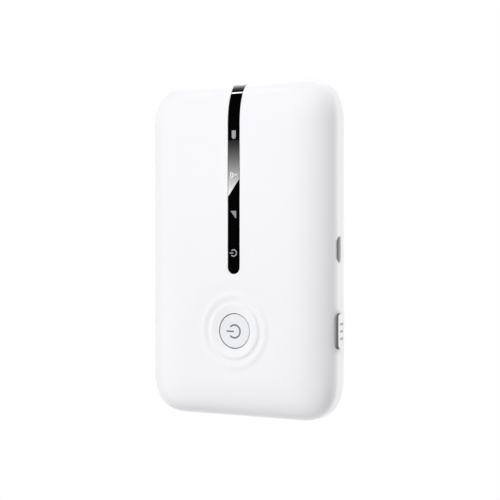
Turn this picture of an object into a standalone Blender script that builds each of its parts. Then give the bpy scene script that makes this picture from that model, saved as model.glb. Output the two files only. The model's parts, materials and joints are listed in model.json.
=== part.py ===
"""A mobile hotspot: a pebble-shaped pocket router, built from its separate pieces.

Every size is in millimetres and becomes metres when a mesh is made. X runs across the front, Z runs up
the long side, and Y runs from the front to the back. The origin is the middle of the flat bottom end.
Along Y the pieces are placed by their depth below the front face.
"""

import math

import bmesh
import bpy

MM = 0.001
RIGHT_ANGLE = math.pi / 2

# Outer body
WIDTH = 62.9
HEIGHT = 100.0
THICKNESS = 13.5
CORNER_X = 11.9
CORNER_Z = 13.0
CORNER_POWER = 2.5
CORNER_STEPS = 8
FRONT_ROLL_WIDTH = 12.5
FRONT_ROLL_DEPTH = 6.0
SIDE_BAND = 2.5
BACK_ROLL_WIDTH = 4.2
BACK_ROLL_DEPTH = THICKNESS - FRONT_ROLL_DEPTH - SIDE_BAND
ORIGIN_DEPTH = FRONT_ROLL_DEPTH + SIDE_BAND / 2
MIDDLE_Z = HEIGHT / 2
GAP = 0.15

# Casing walls and the line where the back cover parts from the front shell
WALL = 1.6
COVER_WALL = 1.3
PARTING_DEPTH = 10.4
COVER_START = 10.6
SPIGOT_WALL = 1.0
SPIGOT_END = 9.0

# Dark strip in the front, and the lights behind it
STRIP_WIDTH = 4.1
STRIP_BOTTOM_Z = 42.7
STRIP_TOP_DEPTH = 8.2
STRIP_RECESS = 0.9
LENS_SINK = 0.03
LENS_THICKNESS = 0.75
LENS_SIDE_GAP = 0.12
LIGHT_Z = {"battery": 84.0, "wifi": 72.1, "signal": 60.4, "power": 49.1}
WINDOW_RADIUS = 1.3
LIGHT_BOX_WIDTH = 5.2
LIGHT_BOX_BOTTOM = 46.5
LIGHT_BOX_TOP = 87.2

# Power button and the ripples round it
BUTTON_Z = 25.8
BUTTON_RADIUS = 5.0
BUTTON_HOLE_RADIUS = 5.2
BUTTON_FLANGE_RADIUS = 5.9
BUTTON_FLANGE = 0.55
DISH_PROFILE = ((6.3, 0.34), (8.0, 0.05), (8.7, 0.18), (10.8, 0.01), (12.6, 0.08), (14.1, -0.02))
SWITCH_FRONT = 3.0

# Charging port in the right side
PORT_Z = 50.0
PORT_DEPTH = 6.3
PORT_LENGTH = 7.74
PORT_HEIGHT = 2.83
PORT_CHAMFER = 1.15
SOCKET_LENGTH = 7.44
SOCKET_HEIGHT = 2.55
SOCKET_WALL = 0.25
SOCKET_MOUTH_X = 30.6
SOCKET_BACK_X = 25.0

# Side key
KEY_Z = 26.4
KEY_DEPTH = 6.45
KEY_LENGTH = 10.0
KEY_HEIGHT = 3.7
KEY_PROUD = 0.9
KEY_CORNER = 1.2
KEY_INNER_X = 29.2
KEY_FLANGE_X = (28.75, 29.5)
KEY_FLANGE_DEPTH = (5.45, 8.25)
KEY_FLANGE_HALF = 5.9
KEY_STEM_X = (28.15, 29.0)
KEY_PLUNGER_X = (26.3, 28.03)
SIDE_SWITCH_X = (23.6, 27.0)
SIDE_SWITCH_END = 7.9

# Layers between the front wall and the cover
BOARD_FRONT = 4.1
BOARD_BACK = 4.9
BOARD_INSET = 4.0
FRAME_FRONT = 6.7
FRAME_BACK = 7.3
FRAME_INSET = 2.0
ON_BOARD_FRONT = BOARD_FRONT - 0.1
ON_BOARD_BACK = BOARD_BACK + 0.1
ON_FRAME = FRAME_BACK + 0.12

# Battery and its bay
BATTERY_WIDTH = 44.0
BATTERY_BOTTOM = 9.8
BATTERY_TOP = 61.8
BATTERY_FRONT = 7.45
BATTERY_BACK = 11.6
BAY_CLEARANCE = 0.3
BAY_WALL = 1.0
BAY_WALL_END = 10.2
CONTACT_X = (-17.5, -15.5, -13.5)

# Screws through the frame and the board into the front shell
SCREW_PLACES = ((-21.0, 6.8), (21.0, 6.8), (-25.0, 66.0), (25.0, 66.0), (-21.0, 93.2), (21.0, 93.2))
SCREW_RADIUS = 0.7
SCREW_HEAD_RADIUS = 1.4
SCREW_HEAD = 0.75
SCREW_TIP = 2.5
BOSS_RADIUS = 1.6
SPACER_RADIUS = 1.8

FINISHES = {
    "white_gloss": ((0.90, 0.91, 0.92), 0.22, 0.0),
    "white_satin": ((0.88, 0.89, 0.90), 0.38, 0.0),
    "black_gloss": ((0.008, 0.008, 0.009), 0.06, 0.0),
    "black_plastic": ((0.03, 0.03, 0.032), 0.55, 0.0),
    "grey_plastic": ((0.22, 0.23, 0.24), 0.50, 0.0),
    "milky_plastic": ((0.80, 0.82, 0.84), 0.45, 0.0),
    "steel": ((0.60, 0.60, 0.60), 0.30, 1.0),
    "tinned_steel": ((0.68, 0.68, 0.66), 0.35, 1.0),
    "gold_contact": ((0.85, 0.62, 0.28), 0.28, 1.0),
    "board_green": ((0.02, 0.14, 0.07), 0.45, 0.0),
    "chip_black": ((0.025, 0.025, 0.028), 0.60, 0.0),
    "foil_copper": ((0.72, 0.40, 0.24), 0.35, 1.0),
    "battery_wrap": ((0.60, 0.62, 0.64), 0.35, 0.0),
    "foam": ((0.05, 0.05, 0.05), 0.95, 0.0),
}


def clear_scene():
    for old in list(bpy.data.objects):
        bpy.data.objects.remove(old, do_unlink=True)


def finish(name):
    """The material of that name, made the first time it is asked for."""
    material = bpy.data.materials.get(name)
    if material:
        return material
    colour, roughness, metallic = FINISHES[name]
    material = bpy.data.materials.new(name)
    material.use_nodes = True
    shader = material.node_tree.nodes["Principled BSDF"]
    shader.inputs["Base Color"].default_value = (*colour, 1.0)
    shader.inputs["Roughness"].default_value = roughness
    shader.inputs["Metallic"].default_value = metallic
    return material


def place(x, depth, z):
    """A point in metres, from its place across, its depth below the front face and its height."""
    return (x * MM, (depth - ORIGIN_DEPTH) * MM, z * MM)


def axis_empty(name, x, depth, z):
    """An empty on the axis of a moving piece."""
    empty = bpy.data.objects.new(name, None)
    empty.location = place(x, depth, z)
    empty.empty_display_size = 5 * MM
    bpy.context.scene.collection.objects.link(empty)
    return empty


def solid(name, rings, material, parent=None):
    """One closed object from rings of (x, depth, z) points, with a face over the first and last ring."""
    shape = bmesh.new()
    loops = [[shape.verts.new(place(*point)) for point in ring] for ring in rings]
    count = len(loops[0])
    for near, far in zip(loops, loops[1:]):
        for i in range(count):
            j = (i + 1) % count
            shape.faces.new((near[i], near[j], far[j], far[i]))
    shape.faces.new(loops[0][::-1])
    shape.faces.new(loops[-1])
    bmesh.ops.recalc_face_normals(shape, faces=shape.faces)
    mesh = bpy.data.meshes.new(name)
    shape.to_mesh(mesh)
    shape.free()
    mesh.shade_smooth()
    mesh.set_sharp_from_angle(angle=math.radians(35))
    obj = bpy.data.objects.new(name, mesh)
    obj.data.materials.append(finish(material))
    bpy.context.scene.collection.objects.link(obj)
    if parent:
        obj.parent = parent
        obj.location = -parent.location
    return obj


def body_ring(inset, depth):
    """The body's outline, drawn in by inset: straight sides and superellipse corners."""
    half_x = WIDTH / 2 - inset
    half_z = HEIGHT / 2 - inset
    radius_x = CORNER_X * math.exp(-inset / CORNER_X)
    radius_z = CORNER_Z * math.exp(-inset / CORNER_Z)
    ring = []
    for quarter, (side, end) in enumerate(((1, 1), (-1, 1), (-1, -1), (1, -1))):
        for step in range(CORNER_STEPS + 1):
            share = step / CORNER_STEPS if quarter % 2 == 0 else 1 - step / CORNER_STEPS
            angle = share * RIGHT_ANGLE
            x = half_x - radius_x + radius_x * max(math.cos(angle), 0.0) ** (2 / CORNER_POWER)
            z = half_z - radius_z + radius_z * max(math.sin(angle), 0.0) ** (2 / CORNER_POWER)
            ring.append((side * x, depth, MIDDLE_Z + end * z))
    return ring


def front_normal(angle):
    """How far the front edge's surface faces outwards and frontwards, at an angle round its ellipse."""
    across = math.sin(angle) / FRONT_ROLL_WIDTH
    inwards = math.cos(angle) / FRONT_ROLL_DEPTH
    length = math.hypot(across, inwards)
    return across / length, inwards / length


def front_roll(angle, below=0.0):
    """(inset, depth) on the front edge's quarter ellipse. Angle 0 is at the front face."""
    across, inwards = front_normal(angle)
    inset = FRONT_ROLL_WIDTH * (1 - math.sin(angle)) + below * across
    depth = FRONT_ROLL_DEPTH * (1 - math.cos(angle)) + below * inwards
    return inset, depth


def back_roll(angle):
    """(inset, depth) on the back edge's quarter ellipse. Angle 0 is at the side."""
    inset = BACK_ROLL_WIDTH * (1 - math.cos(angle))
    depth = FRONT_ROLL_DEPTH + SIDE_BAND + BACK_ROLL_DEPTH * math.sin(angle)
    return inset, depth


def back_roll_angle(depth):
    return math.asin((depth - FRONT_ROLL_DEPTH - SIDE_BAND) / BACK_ROLL_DEPTH)


def between(first, last, steps):
    return [first + (last - first) * i / steps for i in range(steps + 1)]


def rounded_rectangle(width, height, corner, steps=4):
    """Points of a rectangle centred on 0, with round corners, as (u, v) pairs."""
    points = []
    for quarter, (side, end) in enumerate(((1, 1), (-1, 1), (-1, -1), (1, -1))):
        for step in range(steps + 1):
            angle = (quarter + step / steps) * RIGHT_ANGLE
            u = side * (width / 2 - corner) + corner * math.cos(angle)
            v = end * (height / 2 - corner) + corner * math.sin(angle)
            points.append((u, v))
    return points


def circle(u, v, radius, segments=16):
    """Points of a circle round (u, v)."""
    angles = [2 * math.pi * i / segments for i in range(segments)]
    return [(u + radius * math.cos(a), v + radius * math.sin(a)) for a in angles]


def slab(name, centre, size, depths, material, parent=None, corner=0.0):
    """A plate facing the front: centre and size are across and up, and depths are its two faces."""
    if corner:
        outline = rounded_rectangle(size[0], size[1], corner)
    else:
        half_x, half_z = size[0] / 2, size[1] / 2
        outline = [(half_x, half_z), (-half_x, half_z), (-half_x, -half_z), (half_x, -half_z)]
    rings = [[(centre[0] + u, depth, centre[1] + v) for u, v in outline] for depth in depths]
    return solid(name, rings, material, parent)


def turned(name, centre, profile, material, segments=32, parent=None):
    """A piece turned round an axis along Y, from (radius, depth) pairs."""
    rings = [[(x, depth, z) for x, z in circle(*centre, radius, segments)] for radius, depth in profile]
    return solid(name, rings, material, parent)


def sideways(name, outline, span, material, parent=None):
    """An outline of (z, depth) points, run along X over span."""
    return solid(name, [[(x, depth, z) for z, depth in outline] for x in span], material, parent)


def box(name, x, depth, z, material, parent=None):
    """A block between two values along each axis."""
    corners = ((x[0], z[0]), (x[1], z[0]), (x[1], z[1]), (x[0], z[1]))
    return solid(name, [[(u, d, v) for u, v in corners] for d in depth], material, parent)


def boolean(target, tool, operation):
    """Adds or takes away a helper shape, and keeps the helper out of the model."""
    modifier = target.modifiers.new(tool.name, "BOOLEAN")
    modifier.operation = operation
    modifier.solver = "EXACT"
    modifier.object = tool
    tool.hide_render = True
    tool.display_type = "WIRE"
    if target.parent:
        tool.parent = target.parent
        tool.location = target.location


def cut(target, tool):
    boolean(target, tool, "DIFFERENCE")


def join(target, tool):
    boolean(target, tool, "UNION")


def round_edges(obj, width):
    """A small bevel on the sharp edges of a block."""
    modifier = obj.modifiers.new("round_edges", "BEVEL")
    modifier.width = width * MM
    modifier.segments = 2
    modifier.limit_method = "ANGLE"
    modifier.angle_limit = math.radians(50)


def strip_bar(name, half_width, outer, inner, ends, material):
    """A bar that follows the front face up its middle and over the top edge, with a round end at each tip.

    outer and inner are how far its two faces lie below the casing's surface. ends is how far each tip lies
    past the strip's own tips.
    """
    tip_steps = (0.04, 0.15, 0.32, 0.6, 1.0)

    def tips():
        """(distance from the tip, half width) down the round end."""
        for share in tip_steps:
            yield half_width * share, half_width * math.sqrt(1 - (1 - share) ** 2)

    def station(z, depth, across, inwards, half):
        near = (depth + outer * inwards, z - outer * across)
        far = (depth + inner * inwards, z - inner * across)
        return [(half, *near), (-half, *near), (-half, *far), (half, *far)]

    rings = [station(STRIP_BOTTOM_Z - ends + along, 0.0, 0.0, 1.0, half) for along, half in tips()]
    for angle in between(0.0, RIGHT_ANGLE, 12):
        inset, depth = front_roll(angle)
        rings.append(station(HEIGHT - inset, depth, *front_normal(angle), half_width))
    upper = [(STRIP_TOP_DEPTH + ends - along, half) for along, half in tips()]
    rings += [station(HEIGHT, depth, 1.0, 0.0, half) for depth, half in reversed(upper) if depth > FRONT_ROLL_DEPTH]
    return solid(name, rings, material)


def front_shell():
    """The front casing: rolled front edge, side band and the start of the back edge, open at the back."""
    parting = back_roll_angle(PARTING_DEPTH)
    profile = [front_roll(a) for a in between(0.0, RIGHT_ANGLE, 9)]
    profile += [back_roll(a) for a in between(0.0, parting, 2)]
    profile += [(WALL, PARTING_DEPTH)]
    profile += [front_roll(a, WALL) for a in between(RIGHT_ANGLE, 0.0, 6)]
    shell = solid("front_shell", [body_ring(*pair) for pair in profile], "white_gloss")
    dish = [(DISH_PROFILE[-1][0], -1.0), *DISH_PROFILE[::-1]]
    cut(shell, turned("dish_cutter", (0, BUTTON_Z), dish, "white_gloss", 64))
    hole = ((BUTTON_HOLE_RADIUS, -0.5), (BUTTON_HOLE_RADIUS, WALL + 0.5))
    cut(shell, turned("button_hole_cutter", (0, BUTTON_Z), hole, "white_gloss", 40))
    cut(shell, strip_bar("strip_cutter", STRIP_WIDTH / 2, -1.0, STRIP_RECESS, 0.0, "white_gloss"))
    for light, z in LIGHT_Z.items():
        window = ((WINDOW_RADIUS, 0.4), (WINDOW_RADIUS, WALL + 0.5))
        cut(shell, turned(f"{light}_window_cutter", (0, z), window, "white_gloss", 16))
    port = port_outline(PORT_LENGTH, PORT_HEIGHT)
    cut(shell, sideways("port_cutter", port, (WIDTH / 2 - 3, WIDTH / 2 + 1), "white_gloss"))
    slot = rounded_rectangle(KEY_LENGTH + 2 * GAP, KEY_HEIGHT + 2 * GAP, KEY_CORNER + GAP)
    slot = [(KEY_Z + u, KEY_DEPTH + v) for u, v in slot]
    cut(shell, sideways("key_slot_cutter", slot, (WIDTH / 2 - 3.5, WIDTH / 2 + 1), "white_gloss"))
    for number, centre in enumerate(SCREW_PLACES, 1):
        boss = ((BOSS_RADIUS, 1.9), (BOSS_RADIUS, BOARD_FRONT - 0.1))
        join(shell, turned(f"boss_{number}", centre, boss, "white_gloss", 16))
        bore = ((SCREW_RADIUS + 0.1, SCREW_TIP - 0.2), (SCREW_RADIUS + 0.1, BOARD_FRONT + 0.5))
        cut(shell, turned(f"boss_bore_{number}", centre, bore, "white_gloss", 12))
    return shell


def port_outline(length, height):
    """The micro-USB outline: its long side is towards the back, and the front corners are cut off."""
    half, low, high = length / 2, PORT_DEPTH - height / 2, PORT_DEPTH + height / 2
    upper = ((half, high), (half, low + PORT_CHAMFER), (half - PORT_CHAMFER, low))
    lower = [(-u, depth) for u, depth in reversed(upper)]
    return [(PORT_Z + u, depth) for u, depth in (*upper, *lower)]


def back_cover(parent):
    """The pull-off back casing, with a spigot that sits inside the front shell's rim."""
    parting = back_roll_angle(COVER_START)
    spigot = WALL + GAP
    profile = [back_roll(a) for a in between(RIGHT_ANGLE, parting, 6)]
    profile += [(spigot, COVER_START), (spigot, SPIGOT_END + 0.25), (spigot + 0.25, SPIGOT_END)]
    inner = spigot + SPIGOT_WALL
    deepest = THICKNESS - COVER_WALL
    profile += [(inner, SPIGOT_END), (inner, deepest - 1.2), (inner + 0.6, deepest - 0.35), (inner + 1.8, deepest)]
    cover = solid("back_cover", [body_ring(*pair) for pair in profile], "white_gloss", parent)
    nail_radius = 5.5
    nail_reach = 0.9
    middle = COVER_START + nail_reach - nail_radius
    round_end = circle(0.0, middle, nail_radius, 40)
    rings = [[(x, depth, z) for x, depth in round_end] for z in (-1.0, nail_reach)]
    cut(cover, solid("nail_cutter", rings, "white_gloss", parent))
    pad_depths = (BATTERY_BACK + 0.12, deepest - 0.12)
    slab("battery_pad", (0, (BATTERY_BOTTOM + BATTERY_TOP) / 2), (20, 12), pad_depths, "foam", parent, 1.5)


def indicator_lens():
    inner = LENS_SINK + LENS_THICKNESS
    strip_bar("indicator_lens", STRIP_WIDTH / 2 - LENS_SIDE_GAP, LENS_SINK, inner, -LENS_SIDE_GAP, "black_gloss")


def lights():
    """The diffuser sheet, the box that keeps the four lights apart, and the lights on the board."""
    middle = (LIGHT_BOX_BOTTOM + LIGHT_BOX_TOP) / 2
    size = (LIGHT_BOX_WIDTH, LIGHT_BOX_TOP - LIGHT_BOX_BOTTOM)
    slab("light_diffuser", (0, middle), size, (WALL + 0.12, WALL + 0.5), "milky_plastic", corner=0.6)
    baffle = slab("light_baffle", (0, middle), size, (WALL + 0.62, ON_BOARD_FRONT - 0.05), "black_plastic")
    for light, z in LIGHT_Z.items():
        well = box(f"{light}_well", (-1.6, 1.6), (WALL, BOARD_FRONT + 1), (z - 1.9, z + 1.9), "black_plastic")
        cut(baffle, well)
        slab(f"led_{light}", (0, z), (1.6, 0.8), (ON_BOARD_FRONT - 0.6, ON_BOARD_FRONT), "milky_plastic")


def power_button(parent):
    """The round button with its hidden flange, and the plunger of the switch that it presses."""
    flange_top = WALL + GAP
    flange_end = flange_top + BUTTON_FLANGE
    face = [(1.0, 0.36), (3.4, 0.33), (4.7, 0.30), (BUTTON_RADIUS, 0.5), (BUTTON_RADIUS, flange_top)]
    flange = [(BUTTON_FLANGE_RADIUS, flange_top), (BUTTON_FLANGE_RADIUS, flange_end)]
    stem = [(1.2, flange_end), (1.2, flange_end + 0.3)]
    turned("power_button", (0, BUTTON_Z), (*face, *flange, *stem), "white_satin", 40, parent)
    plunger = ((1.0, flange_end + 0.42), (1.0, flange_end + 1.0))
    turned("power_switch_plunger", (0, BUTTON_Z), plunger, "black_plastic", 20, parent)
    depths = (SWITCH_FRONT, ON_BOARD_FRONT)
    body = slab("power_switch_body", (0, BUTTON_Z), (5.2, 5.2), depths, "tinned_steel", corner=0.4)
    bore = ((1.2, SWITCH_FRONT - 0.5), (1.2, ON_BOARD_FRONT - 0.2))
    cut(body, turned("power_switch_bore", (0, BUTTON_Z), bore, "steel", 20))


def side_key(parent):
    """The raised key, its hidden flange and stem, and the right-angle switch behind it."""
    outer_x = WIDTH / 2 + KEY_PROUD
    edge = 0.5
    rings = []
    sections = ((KEY_INNER_X, 0.0), (outer_x - edge, 0.0), (outer_x - edge * 0.3, edge * 0.3), (outer_x, edge))
    for x, smaller in sections:
        outline = rounded_rectangle(KEY_LENGTH - 2 * smaller, KEY_HEIGHT - 2 * smaller, KEY_CORNER - smaller / 2)
        rings.append([(x, KEY_DEPTH + v, KEY_Z + u) for u, v in outline])
    key = solid("side_key", rings, "white_gloss", parent)
    flange_z = (KEY_Z - KEY_FLANGE_HALF, KEY_Z + KEY_FLANGE_HALF)
    join(key, box("key_flange", KEY_FLANGE_X, KEY_FLANGE_DEPTH, flange_z, "white_gloss", parent))
    join(key, sideways("key_stem", circle(KEY_Z, KEY_DEPTH, 1.0), KEY_STEM_X, "white_gloss", parent))
    sideways("side_switch_plunger", circle(KEY_Z, KEY_DEPTH, 0.7), KEY_PLUNGER_X, "black_plastic", parent)
    switch_z = (KEY_Z - 2.3, KEY_Z + 2.3)
    body = box("side_switch_body", SIDE_SWITCH_X, (ON_BOARD_BACK, SIDE_SWITCH_END), switch_z, "tinned_steel")
    bore_x = (KEY_PLUNGER_X[0] - 0.6, SIDE_SWITCH_X[1] + 1)
    cut(body, sideways("side_switch_bore", circle(KEY_Z, KEY_DEPTH, 0.9), bore_x, "steel"))


def usb_socket():
    """The steel mouth of the charging socket, and the plastic tongue inside it."""
    outer = port_outline(SOCKET_LENGTH, SOCKET_HEIGHT)
    shell = sideways("usb_socket_shell", outer, (SOCKET_BACK_X, SOCKET_MOUTH_X), "steel")
    inner = port_outline(SOCKET_LENGTH - 2 * SOCKET_WALL, SOCKET_HEIGHT - 2 * SOCKET_WALL)
    cut(shell, sideways("usb_mouth_cutter", inner, (SOCKET_BACK_X - 1, SOCKET_MOUTH_X + 1), "steel"))
    block = port_outline(SOCKET_LENGTH - 0.8, SOCKET_HEIGHT - 0.8)
    tongue = sideways("usb_socket_tongue", block, (SOCKET_BACK_X + 0.1, SOCKET_BACK_X + 1.4), "black_plastic")
    blade_x = (SOCKET_BACK_X + 1.0, SOCKET_MOUTH_X - 0.5)
    join(tongue, box("usb_blade", blade_x, (6.25, 6.85), (PORT_Z - 1.9, PORT_Z + 1.9), "black_plastic"))


def main_board():
    board = solid("main_board", [body_ring(BOARD_INSET, d) for d in (BOARD_FRONT, BOARD_BACK)], "board_green")
    for number, centre in enumerate(SCREW_PLACES, 1):
        hole = ((SCREW_RADIUS + 0.3, BOARD_FRONT - 1), (SCREW_RADIUS + 0.3, BOARD_BACK + 1))
        cut(board, turned(f"board_hole_{number}", centre, hole, "board_green", 12))


def can(name, x, z, depth):
    """A screening can: a thin box that is open towards the board."""
    thick = 0.2

    def rectangle(smaller, level):
        low_x, high_x = x[0] + smaller, x[1] - smaller
        low_z, high_z = z[0] + smaller, z[1] - smaller
        return [(low_x, level, low_z), (high_x, level, low_z), (high_x, level, high_z), (low_x, level, high_z)]

    start, end = depth
    rings = [rectangle(0.25, end), rectangle(0, end - 0.25), rectangle(0, start)]
    rings += [rectangle(thick, start), rectangle(thick, end - thick)]
    solid(name, rings, "tinned_steel")


def board_parts():
    """Chips and screening cans on the back of the board."""
    can("modem_shield", (-21, -2), (36, 59), (BOARD_BACK + 0.15, 6.5))
    can("radio_shield", (1, 20), (36, 59), (BOARD_BACK + 0.15, 6.5))
    can("wifi_shield", (-21, -3), (11, 31), (BOARD_BACK + 0.15, 6.5))
    chips = {
        "modem_chip": ((-12.5, 51), (12, 12), 0.9),
        "memory_chip": ((-11.5, 40.5), (11, 7), 0.8),
        "transceiver_chip": ((9, 50), (7, 7), 0.8),
        "wifi_chip": ((-12, 21), (8, 8), 0.8),
        "power_chip": ((7, 22), (6, 6), 0.8),
        "power_inductor": ((14, 15), (4, 4), 1.3),
    }
    for name, (centre, size, height) in chips.items():
        depths = (ON_BOARD_BACK, ON_BOARD_BACK + height)
        slab(name, centre, size, depths, "chip_black", corner=0.3)


def inner_frame():
    """The chassis: a floor with the battery bay's walls, and a spacer round each screw."""
    frame = solid("inner_frame", [body_ring(FRAME_INSET, d) for d in (FRAME_FRONT, FRAME_BACK)], "grey_plastic")
    bay_x = BATTERY_WIDTH / 2 + BAY_CLEARANCE
    bay_bottom, bay_top = BATTERY_BOTTOM - BAY_CLEARANCE, BATTERY_TOP + BAY_CLEARANCE
    walls_x = (-bay_x - BAY_WALL, bay_x + BAY_WALL)
    walls_z = (bay_bottom - BAY_WALL, bay_top + BAY_WALL)
    join(frame, box("bay_walls", walls_x, (FRAME_FRONT + 0.2, BAY_WALL_END), walls_z, "grey_plastic"))
    cut(frame, box("bay_cutter", (-bay_x, bay_x), (FRAME_BACK, 12), (bay_bottom, bay_top), "grey_plastic"))
    for number, centre in enumerate(SCREW_PLACES, 1):
        spacer = ((SPACER_RADIUS, ON_BOARD_BACK), (SPACER_RADIUS, FRAME_FRONT + 0.2))
        join(frame, turned(f"spacer_{number}", centre, spacer, "grey_plastic", 16))
        hole = ((SCREW_RADIUS + 0.2, 4), (SCREW_RADIUS + 0.2, 8))
        cut(frame, turned(f"frame_hole_{number}", centre, hole, "grey_plastic", 12))
    windows = {
        "sim_window": ((-7.3, 21.3), (5, 9), (64.0, 81.3)),
        "contact_window": ((-21.3, -9.7), (5, 9), (63.9, 68.8)),
        "port_notch": ((24.6, 31), (5, 9), (45.0, 55.0)),
        "key_notch": ((23.45, 31), (5, 9), (KEY_Z - 6.6, KEY_Z + 6.6)),
        "sim_entry": ((-5.9, 19.9), (FRAME_BACK, 8.4), (bay_top - 1, 64.5)),
        "contact_slot": ((-18.7, -12.3), (8.0, 12), (bay_top - 1, 64.5)),
        "lift_notch": ((-6, 6), (8.6, 12), (bay_bottom - 2, bay_bottom + 1)),
        "cellular_clip_hole": ((-12.9, -11.1), (5, 9), (86.4, 89.6)),
        "wifi_clip_hole": ((-26.9, -25.1), (5, 9), (40.4, 43.6)),
        "diversity_clip_hole": ((-26.9, -25.1), (5, 9), (14.4, 17.6)),
    }
    for name, (x, depth, z) in windows.items():
        cut(frame, box(name, x, depth, z, "grey_plastic"))


def screws():
    """Six cross-head screws, driven from the back."""
    arm, half = 0.85, 0.16
    head_end = ON_FRAME + SCREW_HEAD
    cross = []
    for turn in range(4):
        cosine, sine = round(math.cos(turn * RIGHT_ANGLE)), round(math.sin(turn * RIGHT_ANGLE))
        for u, v in ((half, half), (arm, half), (arm, -half)):
            cross.append((u * cosine + v * sine, v * cosine - u * sine))
    for number, (x, z) in enumerate(SCREW_PLACES, 1):
        profile = [(SCREW_RADIUS, SCREW_TIP), (SCREW_RADIUS, ON_FRAME), (SCREW_HEAD_RADIUS, ON_FRAME)]
        profile += [(SCREW_HEAD_RADIUS, head_end - 0.25), (SCREW_HEAD_RADIUS - 0.35, head_end)]
        screw = turned(f"frame_screw_{number}", (x, z), profile, "steel", 16)
        rings = [[(x + u, depth, z + v) for u, v in cross] for depth in (head_end - 0.4, head_end + 0.3)]
        cut(screw, solid(f"cross_{number}", rings, "steel"))


def battery(parent):
    """The battery pack and the terminal strip in its top edge."""
    middle = (BATTERY_BOTTOM + BATTERY_TOP) / 2
    size = (BATTERY_WIDTH, BATTERY_TOP - BATTERY_BOTTOM)
    pack = slab("battery_pack", (0, middle), size, (BATTERY_FRONT, BATTERY_BACK), "battery_wrap", parent, 1.2)
    round_edges(pack, 0.5)
    notch_z = (BATTERY_TOP - 1.5, BATTERY_TOP + 1)
    cut(pack, box("terminal_notch", (-20.2, -10.8), (7, 10.2), notch_z, "battery_wrap", parent))
    strip_z = (BATTERY_TOP - 1.35, BATTERY_TOP)
    box("battery_terminal_board", (-20.05, -10.95), (7.6, 10.05), strip_z, "gold_contact", parent)


def battery_contacts():
    """The contact block on the board, and its three leaf springs that reach into the bay."""
    block = box("battery_contact_block", (-21, -10), (ON_BOARD_BACK, 10.0), (64.2, 68.5), "black_plastic")
    leaf = ((65.5, 8.45), (62.9, 8.45), (61.95, 8.85), (61.95, 9.1), (62.8, 9.35), (62.8, 9.1), (62.3, 8.95))
    leaf += ((63.0, 8.7), (65.5, 8.7))
    for number, x in enumerate(CONTACT_X, 1):
        slot = box(f"contact_slot_{number}", (x - 0.55, x + 0.55), (8.3, 9.5), (63.5, 65.7), "black_plastic")
        cut(block, slot)
        sideways(f"battery_contact_{number}", leaf, (x - 0.4, x + 0.4), "gold_contact")


def sim_socket():
    """A SIM card socket whose mouth opens into the battery bay, level with its floor."""
    base = box("sim_socket_base", (-7, 21), (ON_BOARD_BACK, 8.35), (64.3, 81), "black_plastic")
    cut(base, box("sim_pocket", (-5.7, 19.7), (FRAME_BACK + 0.05, 9), (63, 80), "black_plastic"))
    cover = box("sim_socket_cover", (-7, 21), (8.47, 8.67), (64.3, 81), "tinned_steel")
    thumb = ((4.5, 8), (4.5, 9))
    cut(cover, turned("thumb_cutter", (7, 64.3), thumb, "steel", 24))
    cut(cover, box("contact_view", (0, 14), (8, 9), (71.5, 77.5), "steel"))


def antennas():
    """Three foil antennas on the frame, each fed by a spring clip on the board."""
    plates = {
        "cellular_antenna": ((0, 89), (33, 7), (-12, 88)),
        "wifi_antenna": ((-26.2, 45), (4, 20), (-26, 42)),
        "diversity_antenna": ((-26.2, 23), (4, 18), (-26, 16)),
    }
    leaf = ((-1.2, 5.0), (1.2, 5.0), (1.2, 5.2), (-0.7, 5.2), (0.9, 7.05), (0.9, 7.28), (0.6, 7.28), (-1.2, 5.3))
    for name, (centre, size, (clip_x, clip_z)) in plates.items():
        slab(name, centre, size, (ON_FRAME, ON_FRAME + 0.4), "foil_copper", corner=0.5)
        outline = [(clip_z + u, depth) for u, depth in leaf]
        clip = name.replace("antenna", "clip")
        sideways(clip, outline, (clip_x - 0.6, clip_x + 0.6), "gold_contact")


def build():
    clear_scene()
    cover_axis = axis_empty("cover_slide", 0, COVER_START, MIDDLE_Z)
    battery_axis = axis_empty("battery_slide", 0, BATTERY_FRONT, (BATTERY_BOTTOM + BATTERY_TOP) / 2)
    button_axis = axis_empty("button_slide", 0, 0.3, BUTTON_Z)
    key_axis = axis_empty("key_slide", WIDTH / 2, KEY_DEPTH, KEY_Z)
    front_shell()
    indicator_lens()
    lights()
    power_button(button_axis)
    side_key(key_axis)
    usb_socket()
    main_board()
    board_parts()
    inner_frame()
    screws()
    battery(battery_axis)
    battery_contacts()
    sim_socket()
    antennas()
    back_cover(cover_axis)


build()
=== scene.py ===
"""Looks of the mobile hotspot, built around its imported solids.

Sizes are in millimetres and become metres when a mesh is made, unless a comment says metres. X runs across
the front, Z runs up the long side, and along Y a piece is placed by its depth below the front face.
"""

import json
import math

import bmesh
import bpy
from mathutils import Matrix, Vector


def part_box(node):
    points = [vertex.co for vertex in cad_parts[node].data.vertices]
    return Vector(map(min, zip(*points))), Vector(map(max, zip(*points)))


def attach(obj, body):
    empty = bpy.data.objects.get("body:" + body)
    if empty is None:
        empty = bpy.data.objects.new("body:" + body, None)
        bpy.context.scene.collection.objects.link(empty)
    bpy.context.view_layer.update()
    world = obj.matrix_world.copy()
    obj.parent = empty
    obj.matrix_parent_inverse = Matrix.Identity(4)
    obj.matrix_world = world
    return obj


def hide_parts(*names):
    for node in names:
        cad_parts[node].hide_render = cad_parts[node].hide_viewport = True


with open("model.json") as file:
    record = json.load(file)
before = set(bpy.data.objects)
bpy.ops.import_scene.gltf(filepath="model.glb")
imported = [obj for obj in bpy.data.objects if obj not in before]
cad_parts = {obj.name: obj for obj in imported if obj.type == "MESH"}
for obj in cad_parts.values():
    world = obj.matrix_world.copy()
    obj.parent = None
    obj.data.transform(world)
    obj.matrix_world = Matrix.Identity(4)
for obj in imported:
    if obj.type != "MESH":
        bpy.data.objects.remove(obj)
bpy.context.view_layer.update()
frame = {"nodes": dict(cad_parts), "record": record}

MM = 0.001
RIGHT_ANGLE = math.pi / 2

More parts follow.
